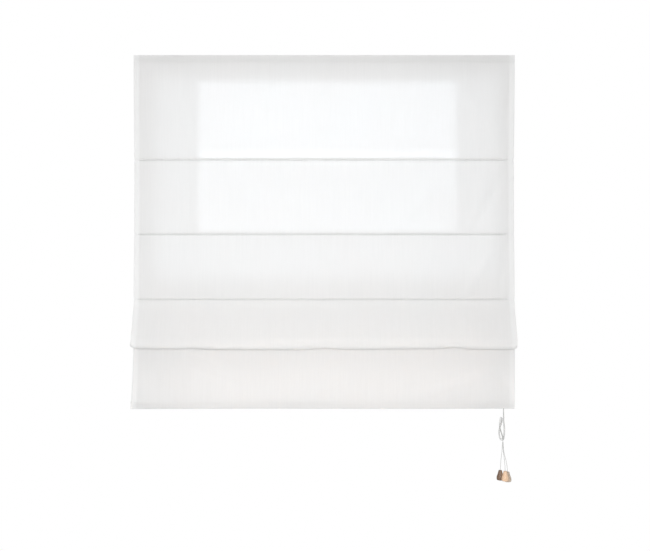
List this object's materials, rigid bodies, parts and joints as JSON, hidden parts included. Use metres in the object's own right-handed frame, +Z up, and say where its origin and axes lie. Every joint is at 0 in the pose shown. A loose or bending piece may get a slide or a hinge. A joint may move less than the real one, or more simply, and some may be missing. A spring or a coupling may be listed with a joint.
{
  "type": "roman blind",
  "caption": "Part-raised roman blind: white cloth on stiffening rods, hung from a slim head rail, with lift cords, a cord lock and wooden acorn pulls.",
  "frame": {"origin": "on the wall, midway between the two screw holes of the middle bracket", "axes": "+X to the right seen from the room, +Y into the wall, +Z up; the blind hangs below its head rail"},
  "size_m": [1.35, 0.0894, 1.516],
  "materials": {
    "cloth": "matte",
    "touch_tape": "matte",
    "rail_aluminium": "satin",
    "bar_aluminium": "satin",
    "white_plastic": "satin",
    "bracket_steel": "satin",
    "roller_brass": "satin",
    "glass_fibre": "satin",
    "clear_rings": "gloss",
    "lift_cord": "matte",
    "acorn_wood": "satin"
  },
  "bodies": {
    "root": {"cloth": "cloth", "hook_tape": "touch_tape", "loop_tape": "touch_tape", "head_rail": "rail_aluminium", "end_cap_left": "white_plastic", "end_cap_right": "white_plastic", "bracket_left": "bracket_steel", "bracket_middle": "bracket_steel", "bracket_right": "bracket_steel", "cord_guide_left": "white_plastic", "cord_guide_middle": "white_plastic", "cord_guide_right": "white_plastic", "lift_cord_left": "lift_cord", "lift_cord_middle": "lift_cord", "lift_cord_right": "lift_cord", "pull_cord_left": "lift_cord", "pull_cord_middle": "lift_cord", "pull_cord_right": "lift_cord", "lock_housing": "white_plastic"},
    "rod_1": {"rod_1": "glass_fibre", "rings_1": "clear_rings"},
    "rod_2": {"rod_2": "glass_fibre", "rings_2": "clear_rings"},
    "rod_3": {"rod_3": "glass_fibre", "rings_3": "clear_rings"},
    "rod_4": {"rod_4": "glass_fibre", "rings_4": "clear_rings", "bottom_bar": "bar_aluminium"},
    "pull": {"cord_hank": "lift_cord", "tail_cord_left": "lift_cord", "tail_cord_middle": "lift_cord", "tail_cord_right": "lift_cord", "acorn_left": "acorn_wood", "acorn_middle": "acorn_wood", "acorn_right": "acorn_wood", "knot_left": "lift_cord", "knot_middle": "lift_cord", "knot_right": "lift_cord"},
    "roller": {"lock_roller": "roller_brass"}
  },
  "joints": [
    {"name": "lift_1", "type": "slide", "parent": "root", "child": "rod_1", "axis": [0, 0.0088, 1], "range_m": [0, 0.3155], "deforming": ["cloth", "lift_cord_left", "lift_cord_middle", "lift_cord_right"]},
    {"name": "lift_2", "type": "slide", "parent": "rod_1", "child": "rod_2", "axis": [0, 0.0088, 1], "range_m": [0, 0.2475], "deforming": ["cloth", "lift_cord_left", "lift_cord_middle", "lift_cord_right"]},
    {"name": "lift_3", "type": "slide", "parent": "rod_2", "child": "rod_3", "axis": [0, 0.0088, 1], "range_m": [0, 0.2145], "deforming": ["cloth", "lift_cord_left", "lift_cord_middle", "lift_cord_right"]},
    {"name": "lift_4", "type": "slide", "parent": "rod_3", "child": "rod_4", "axis": [0, 0.0088, 1], "range_m": [-0.093, 0.1285], "deforming": ["cloth", "lift_cord_left", "lift_cord_middle", "lift_cord_right"]},
    {"name": "cord_pull", "type": "slide", "parent": "root", "child": "pull", "axis": [0, 0, 1], "range_m": [-0.1285, 0.093], "deforming": ["pull_cord_left", "pull_cord_middle", "pull_cord_right"]},
    {"name": "roller_travel", "type": "slide", "parent": "root", "child": "roller", "axis": [0.5, 0, 0.866], "range_m": [0, 0.004]}
  ],
  "couplings": [
    {"joint": "cord_pull", "follows": "lift_4", "ratio": -1}
  ]
}
